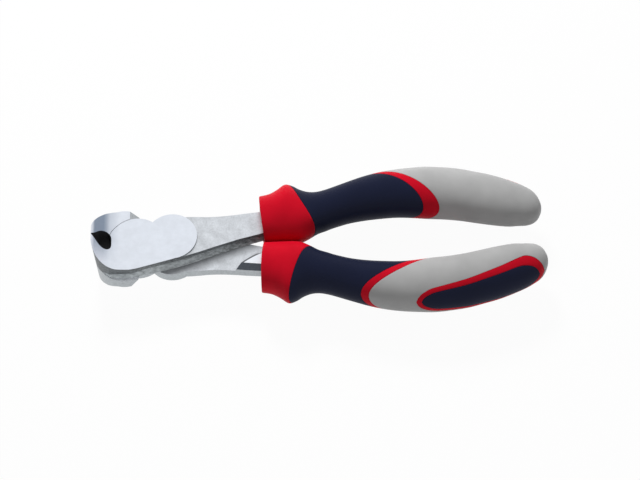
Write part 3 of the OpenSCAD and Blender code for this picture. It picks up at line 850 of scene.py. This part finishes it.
class NIPPERS_OT_levers(bpy.types.Operator):
    """Forged levers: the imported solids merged, with broken edges and their finishes."""

    bl_idname = "nippers.levers"
    bl_label = "Levers"

    def execute(self, context):
        steel = context.scene.nippers_steel
        colours = context.scene.nippers_colours
        # The flank, throat and facet finishes are dark colours that paint shade and reflection
        shared = [ground_steel(colours), forged_steel(colours), flank_dark_reflection(colours),
                  smooth_steel("jaw_steel", colours.jaw_side), forged_skirt(colours),
                  throat_and_edge_shade(colours), smooth_steel("facet_steel", colours.facet)]
        for node, body, up in LEVERS:
            bm = bmesh.new()
            bm.from_mesh(frame["nodes"][node].data)
            bmesh.ops.remove_doubles(bm, verts=bm.verts, dist=WELD)
            bmesh.ops.dissolve_limit(bm, angle_limit=radians(0.5), verts=bm.verts,
                                     edges=bm.edges, delimit=set())
            for vert in bm.verts:
                # The collar's front is bowed, so the shank's end is run into it
                if abs(vert.co.x - PIVOT.x - SHANK_END) < NEAR:
                    vert.co.x += SEAT_DEPTH
            self.flare_side(bm, steel, up)
            self.break_edges(bm, steel)
            self.mark_finishes(bm, steel, up)
            piece = make_piece(context, bm, node + "_forging", body, "lever_steel", [node],
                               shared + [forged_steel(colours, joint=-up)],
                               sharp=radians(50))
            weighted = piece.modifiers.new("even_normals", "WEIGHTED_NORMAL")
            weighted.keep_sharp = True
        rivet = frame["nodes"]["pivot_rivet"]
        rivet.data.materials.clear()
        rivet.data.materials.append(shared[GROUND])
        return {"FINISHED"}

    def flare_side(self, bm, steel, up):
        """Flares the foot of the side that runs from the jaw to the grip, as a forging's
        draft leaves it: a cut line along the side, and its foot moved outwards."""
        heights = (steel.skirt_front, steel.skirt_height, steel.skirt_rear)
        ends = list(zip(SKIRT_PLACES, heights))
        for (near, low), (far, high) in zip(ends, ends[1:]):
            parts = set()
            for face in bm.faces:
                back = face.calc_center_median().x - PIVOT.x
                if near < back < far and self.on_side(face, up):
                    parts.update((face, *face.edges, *face.verts))
            slope = (high - low) / (far - near)
            spot = PIVOT + Vector((near, 0, up * low))
            bmesh.ops.bisect_plane(bm, geom=list(parts), dist=NEAR, plane_co=spot,
                                   plane_no=(-slope * up, 0, 1))
        feet = {}
        for face in bm.faces:
            if not self.on_side(face, up):
                continue
            for vert in face.verts:
                if abs(vert.co.z - PIVOT.z) < ON_PLANE:
                    feet.setdefault(vert, []).append(face.normal.copy())
        for vert, normals in feet.items():
            out = sum(normals, Vector())
            out.z = 0
            back = vert.co.x - PIVOT.x
            share = min(max((back - FLARE_START) / FLARE_RISE, 0), 1)
            share += min(max(back / FLARE_GROWTH, 0), 0.5)
            vert.co += out.normalized() * steel.skirt_flare * share

    def on_side(self, face, up):
        """Whether a face is on the upright side from the jaw to the grip."""
        spot = face.calc_center_median() - PIVOT
        outwards = -face.normal.y * up
        along = JAW_FRONT < spot.x < SKIRT_PLACES[-1]
        upper = spot.z * up > SIDE_FROM
        own = -spot.y * up > SIDE_OUT - SIDE_SLOPE * max(spot.x, 0)
        upright = outwards > SIDEWAYS > abs(face.normal.z)
        return along and upper and own and upright

    def break_edges(self, bm, steel):
        """Bevels the sharp edges, apart from those at the rivet's hole."""
        rivet_low, rivet_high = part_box("pivot_rivet")
        hole_r = (rivet_high.x - rivet_low.x) / 2 + HOLE_ROOM
        sharp = []
        for edge in bm.edges:
            middle = (edge.verts[0].co + edge.verts[1].co) / 2 - PIVOT
            if len(edge.link_faces) != 2 or hypot(middle.x, middle.y) < hole_r:
                continue
            if edge.calc_face_angle() > steel.sharp_angle:
                sharp.append(edge)
        bmesh.ops.bevel(bm, geom=sharp, offset=steel.edge_bevel, offset_type="OFFSET",
                        affect="EDGES", segments=2, profile=0.5, material=-1,
                        clamp_overlap=True, loop_slide=True)

    def mark_finishes(self, bm, steel, up):
        """Gives each face its finish."""
        rivet_low, rivet_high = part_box("pivot_rivet")
        ground_from = (rivet_high.z - rivet_low.z) / 2 - ON_PLANE
        for face in bm.faces:
            face.normal_update()
            face.material_index = self.finish_of(face, steel, up, ground_from)

    def finish_of(self, face, steel, up, ground_from):
        """A face's finish, by where it lies and which way it looks."""
        spot = face.calc_center_median() - PIVOT
        normal = face.normal
        height = spot.z * up
        level = abs(normal.z)
        foot = FOOT_FROM < height < steel.skirt_height and spot.y * up < FOOT_REACH
        width = 2 * face.calc_area() / face.calc_perimeter()
        # Narrow bevels along far edges get the near black finish: a painted dark reflection
        if width < steel.edge_bevel and self.on_far_edge(spot, height, normal, up):
            return PAINTED_DARK
        if abs(height) > ground_from and level > GROUND_SLOPE:
            return GROUND
        if foot and normal.z * up > FOOT_UP and normal.y * up < -FOOT_OUT:
            return SKIRT
        if level > LEVEL:
            return JOINT if height < JOINT_TO else FORGED
        # Throat walls: near black, painted shade in the hollow
        if self.in_throat(spot, normal):
            return PAINTED_DARK
        if normal.x < -FORWARDS:
            return JAW_SIDE
        # Tang facets: dark, a painted dark reflection
        if spot.x > FACET_START and height < 0 and level > FACET_SLOPE:
            return FACET
        if spot.x < JAW_END and height < ON_PLANE:
            return JAW_SIDE
        if spot.x > HANDLE_START and normal.y * up > SIDEWAYS:
            return JAW_SIDE
        # Upright sides: darkened, a painted dark reflection
        return FLANK

    def on_far_edge(self, spot, height, normal, up):
        """Whether a bevel is on an edge painted dark, a painted dark reflection: along a
        handle's outer side, and along a jaw's outer side on the face that the grinding leaves
        free."""
        out = normal.y * up
        if not EDGE_SLOPES[0] < abs(normal.z) < EDGE_SLOPES[1]:
            return False
        handle = spot.x > LOBE_START and height > EDGE_FROM and out > EDGE_OUT
        jaw = spot.x < LOBE_START and height < EDGE_FROM and out < -EDGE_OUT
        return handle or jaw

    def in_throat(self, spot, normal):
        """Whether a face is on the throat's wall, which faces the throat's middle."""
        middle = Vector((THROAT_X, 0, spot.z))
        inside = (spot - middle).length < THROAT_R
        return inside and normal.dot(middle - spot) > 0


class NIPPERS_OT_grip_cores(bpy.types.Operator):
    """Hard red cores: the collar with its thumb guard, the seats of the skins and the stripe."""

    bl_idname = "nippers.grip_cores"
    bl_label = "Grip cores"

    def execute(self, context):
        material = moulded("red_core", context.scene.nippers_colours.red, 0.48, 0.1,
                           0.35 * MM, 0.012 * MM)
        form = GripForm(context.scene.nippers_grip)
        skin = form.sizes.skin
        r = form.sizes.edge_round
        rings = self.front(form)
        rings += form.zone(form.front_edge, form.collar_edge, (2 * RIM_R, -r), 0,
                           COLLAR_RINGS)
        rings += form.roll(form.collar_edge, 1)
        rings += form.zone(form.collar_edge, form.stripe_front, (SEAT_GAP, -SEAT_GAP), skin,
                           SLEEVE_SEAT_RINGS)
        rings += form.roll(form.stripe_front, -1)
        rings += form.zone(form.stripe_front, form.stripe_rear, (2 * r, -2 * r), 0,
                           STRIPE_RINGS)
        rings += form.roll(form.stripe_rear, 1)
        rings += form.zone(form.stripe_rear, form.core_tip, (SEAT_GAP, 0), skin,
                           TAIL_SEAT_RINGS, ease=True)
        for grip in GRIPS:
            mould(context, rings, grip, "core_moulding", "grip_red", "core", material)
        return {"FINISHED"}

    def front(self, form):
        """Rings of the collar's front: a shallow recess round the tang and a rounded rim."""
        return [form.ring(form.front_edge, shift, depth)
                for shift, depth in RECESS + rounded(RIM_R, RIM_STEPS)]


class NIPPERS_OT_grip_borders(bpy.types.Operator):
    """Red borders that frame the inlays, rooted in the cores."""

    bl_idname = "nippers.grip_borders"
    bl_label = "Inlay borders"

    def execute(self, context):
        material = bpy.data.materials["red_core"]
        form = GripForm(context.scene.nippers_grip)
        wide = form.sizes.border_width
        root = form.sizes.skin * 1.2
        profile = [(0, root), *rounded(form.sizes.edge_round, BORDER_STEPS), (wide / 2, 0)]
        profile += [(wide - across, depth) for across, depth in profile[-2:0:-1]]
        profile += [(wide, root)]
        rings = []
        for outer, inner in zip(form.inlay_outline(0), form.inlay_outline(wide)):
            ring = []
            for across, depth in profile:
                share = across / wide
                x = outer[0] + (inner[0] - outer[0]) * share
                height = outer[1] + (inner[1] - outer[1]) * share
                ring.append(form.point(x, form.inlay_turn(x, height), depth))
            rings.append(ring)
        for grip in GRIPS:
            mould(context, rings, grip, "border", "grip_red", "core", material, tube=True)
        return {"FINISHED"}


class NIPPERS_OT_grip_sleeves(bpy.types.Operator):
    """Soft navy sleeves over the fronts of the cores."""

    bl_idname = "nippers.grip_sleeves"
    bl_label = "Grip sleeves"

    def execute(self, context):
        material = moulded("navy_rubber", context.scene.nippers_colours.navy, 0.5, 0.12,
                           0.3 * MM, 0.016 * MM)
        form = GripForm(context.scene.nippers_grip)
        r = form.sizes.edge_round
        rings = form.roll(form.collar_edge, -1)
        rings += form.zone(form.collar_edge, form.stripe_front, (2 * r, -2 * r), 0,
                           SLEEVE_RINGS)
        rings += form.roll(form.stripe_front, 1)
        rings += form.zone(form.stripe_front, form.collar_edge, (-r, r), form.sizes.skin,
                           SLEEVE_BACK_RINGS)
        for grip in GRIPS:
            mould(context, rings, grip, "sleeve_moulding", "grip_navy", "sleeve", material,
                  tube=True)
        return {"FINISHED"}


class NIPPERS_OT_grip_tails(bpy.types.Operator):
    """Soft grey tails over the ends of the cores, with a pocket for the inlay."""

    bl_idname = "nippers.grip_tails"
    bl_label = "Grip tails"

    def execute(self, context):
        material = moulded("grey_rubber", context.scene.nippers_colours.grey, 0.5, 0.2,
                           0.3 * MM, 0.016 * MM)
        form = GripForm(context.scene.nippers_grip)
        r = form.sizes.edge_round
        rings = form.zone(form.core_tip, form.stripe_rear, (0, r), form.sizes.skin,
                          TAIL_SEAT_RINGS)
        rings += form.roll(form.stripe_rear, -1)
        rings += form.zone(form.stripe_rear, form.tip, (2 * r, 0), 0, TAIL_RINGS, ease=True)
        for grip in GRIPS:
            piece = mould(context, rings, grip, "tail_moulding", "grip_grey", "tail", material)
            self.cut_pocket(context, piece, form, grip)
        return {"FINISHED"}

    def cut_pocket(self, context, piece, form, grip):
        """Cuts the pocket's outline out of the tail's wall."""
        lower = grip[2]
        rings = [set_in_place([form.view_point(x, height, share)
                               for x, height in form.inlay_outline(0)], lower)
                 for share in POCKET_REACH]
        bm = bmesh.new()
        skin_through(bm, rings)
        cutter = add_object(context, "pocket", finished_mesh(bm, "pocket"))
        cut = piece.modifiers.new("pocket", "BOOLEAN")
        cut.operation = "DIFFERENCE"
        cut.solver = "EXACT"
        cut.object = cutter
        context.view_layer.update()
        graph = context.evaluated_depsgraph_get()
        pocketed = bpy.data.meshes.new_from_object(piece.evaluated_get(graph))
        piece.modifiers.clear()
        piece.data = pocketed
        smoothed(pocketed)
        bpy.data.objects.remove(cutter)


class NIPPERS_OT_grip_inlays(bpy.types.Operator):
    """Soft navy inlays in the outer sides of the tails."""

    bl_idname = "nippers.grip_inlays"
    bl_label = "Grip inlays"

    def execute(self, context):
        material = bpy.data.materials["navy_rubber"]
        rings = self.slices(GripForm(context.scene.nippers_grip))
        for grip in GRIPS:
            mould(context, rings, grip, "inlay_moulding", "grip_navy", "inlay", material)
        return {"FINISHED"}

    def slices(self, form):
        """Slices across the inlay, each a closed ring with rounded outer corners."""
        outline = form.inlay_outline(form.sizes.border_width, count=10)
        side = outline[1:len(outline) // 2]
        shares = [1 - 2 * k / INLAY_FACES for k in range(INLAY_FACES + 1)]
        rings = []
        for x, half in side:
            r = min(form.sizes.edge_round, half / 2)
            corner = [(half - drop, depth) for drop, depth in rounded(r, BORDER_STEPS)[:-1]]
            flat = [((half - r) * share, 0) for share in shares]
            back = [(-height, depth) for height, depth in corner[::-1]]
            floor = [(-half * share, form.sizes.skin) for share in shares]
            rings.append([form.point(x, form.inlay_turn(x, height), depth)
                          for height, depth in corner + flat + back + floor])
        return rings


class NIPPERS_OT_stage(bpy.types.Operator):
    """Plain pale floor, soft light and the camera."""

    bl_idname = "nippers.stage"
    bl_label = "Stage"

    def execute(self, context):
        stage = context.scene.nippers_stage
        self.make_camera(context, stage)
        self.make_floor(context)
        self.make_world(context, stage)
        self.make_lamp(context, "key", *KEY_LAMP, stage.key_power)
        self.make_lamp(context, "front", *FRONT_LAMP, stage.front_power)
        context.scene.view_settings.view_transform = "Standard"
        return {"FINISHED"}

    def make_camera(self, context, stage):
        """The scene's camera, at a distance from its target."""
        data = bpy.data.cameras.new("camera")
        data.sensor_width = 36
        data.lens = stage.lens
        data.clip_start = 0.05
        camera = add_object(context, "camera", data)
        a, e = stage.azimuth, stage.elevation
        right = Vector((cos(a), sin(a), 0))
        back = Vector((sin(a) * cos(e), -cos(a) * cos(e), sin(e)))
        up = back.cross(right)
        turn = Matrix((right, up, back)).transposed().to_4x4()
        spot = PIVOT + Vector(stage.target) + stage.distance * back
        camera.matrix_world = Matrix.Translation(spot) @ turn
        context.scene.camera = camera

    def make_floor(self, context):
        """A level floor that the tool lies on."""
        bm = bmesh.new()
        bmesh.ops.create_grid(bm, x_segments=1, y_segments=1, size=FLOOR_HALF)
        floor = add_object(context, "floor", finished_mesh(bm, "floor"))
        floor.data.materials.append(self.floor_material())

    def floor_material(self):
        """Pale matt floor that keeps a soft shadow and looks white to the camera."""
        material = bpy.data.materials.new("floor_paper")
        material.use_nodes = True
        tree = material.node_tree
        tree.nodes.clear()
        out = tree.nodes.new("ShaderNodeOutputMaterial")
        matt = tree.nodes.new("ShaderNodeBsdfDiffuse")
        matt.inputs["Color"].default_value = (0.9, 0.9, 0.9, 1)
        glow = tree.nodes.new("ShaderNodeEmission")
        glow.inputs["Strength"].default_value = 1
        mix = tree.nodes.new("ShaderNodeMixShader")
        share = tree.nodes.new("ShaderNodeMath")
        share.operation = "MULTIPLY"
        share.inputs[1].default_value = FLOOR_WHITE
        tree.links.new(seen_directly(tree), share.inputs[0])
        tree.links.new(share.outputs[0], mix.inputs["Fac"])
        tree.links.new(matt.outputs[0], mix.inputs[1])
        tree.links.new(glow.outputs[0], mix.inputs[2])
        tree.links.new(mix.outputs[0], out.inputs["Surface"])
        return material

    def make_world(self, context, stage):
        """White to the camera and in reflections, and a soft even fill otherwise."""
        world = bpy.data.worlds.new("studio")
        world.use_nodes = True
        tree = world.node_tree
        tree.nodes.clear()
        out = tree.nodes.new("ShaderNodeOutputWorld")
        background = tree.nodes.new("ShaderNodeBackground")
        background.inputs["Color"].default_value = (1, 1, 1, 1)
        strength = tree.nodes.new("ShaderNodeMapRange")
        strength.inputs["To Min"].default_value = stage.fill
        strength.inputs["To Max"].default_value = 1
        tree.links.new(seen_directly(tree), strength.inputs["Value"])
        tree.links.new(strength.outputs["Result"], background.inputs["Strength"])
        tree.links.new(background.outputs[0], out.inputs["Surface"])
        context.scene.world = world

    def make_lamp(self, context, name, spot, size, power):
        """A round lamp that lights the tool and leaves no reflection of itself."""
        data = bpy.data.lights.new(name, "AREA")
        data.shape = "DISK"
        data.size = size
        data.energy = power
        lamp = add_object(context, name, data)
        lamp.location = spot
        lamp.visible_glossy = False
        aim = LAMP_AIM - Vector(spot)
        lamp.rotation_euler = aim.to_track_quat("-Z", "Y").to_euler()


def seen_directly(tree):
    """1 for camera, glossy and transmission rays, 0 for the rest."""
    path = tree.nodes.new("ShaderNodeLightPath")
    seen = path.outputs["Is Camera Ray"]
    for ray in ("Is Glossy Ray", "Is Transmission Ray"):
        either = tree.nodes.new("ShaderNodeMath")
        either.operation = "MAXIMUM"
        tree.links.new(seen, either.inputs[0])
        tree.links.new(path.outputs[ray], either.inputs[1])
        seen = either.outputs[0]
    return seen


class NIPPERS_PT_panel(bpy.types.Panel):
    """Sizes, colours and pieces of the nippers."""

    bl_label = "End Cutting Nippers"
    bl_idname = "NIPPERS_PT_panel"
    bl_space_type = "VIEW_3D"
    bl_region_type = "UI"
    bl_category = "Nippers"

    def draw(self, context):
        layout = self.layout
        for title, group in (("Grips", context.scene.nippers_grip),
                             ("Steel", context.scene.nippers_steel),
                             ("Colours", context.scene.nippers_colours),
                             ("Stage", context.scene.nippers_stage)):
            box = layout.box()
            box.label(text=title)
            for name in group.bl_rna.properties.keys():
                if name not in ("rna_type", "name"):
                    box.prop(group, name)
        for operator in OPERATORS:
            layout.operator(operator.bl_idname)


GROUPS = (
    (NippersGripSizes, "nippers_grip"),
    (NippersSteelSizes, "nippers_steel"),
    (NippersColours, "nippers_colours"),
    (NippersStage, "nippers_stage"),
)
OPERATORS = (
    NIPPERS_OT_levers,
    NIPPERS_OT_grip_cores,
    NIPPERS_OT_grip_borders,
    NIPPERS_OT_grip_sleeves,
    NIPPERS_OT_grip_tails,
    NIPPERS_OT_grip_inlays,
    NIPPERS_OT_stage,
)


def register():
    for group, name in GROUPS:
        bpy.utils.register_class(group)
        setattr(bpy.types.Scene, name, PointerProperty(type=group))
    for operator in OPERATORS:
        bpy.utils.register_class(operator)
    bpy.utils.register_class(NIPPERS_PT_panel)


def unregister():
    bpy.utils.unregister_class(NIPPERS_PT_panel)
    for operator in reversed(OPERATORS):
        bpy.utils.unregister_class(operator)
    for group, name in reversed(GROUPS):
        delattr(bpy.types.Scene, name)
        bpy.utils.unregister_class(group)


def main():
    register()
    bpy.ops.nippers.levers()
    bpy.ops.nippers.grip_cores()
    bpy.ops.nippers.grip_borders()
    bpy.ops.nippers.grip_sleeves()
    bpy.ops.nippers.grip_tails()
    bpy.ops.nippers.grip_inlays()
    bpy.ops.nippers.stage()


if __name__ == "__main__":
    main()
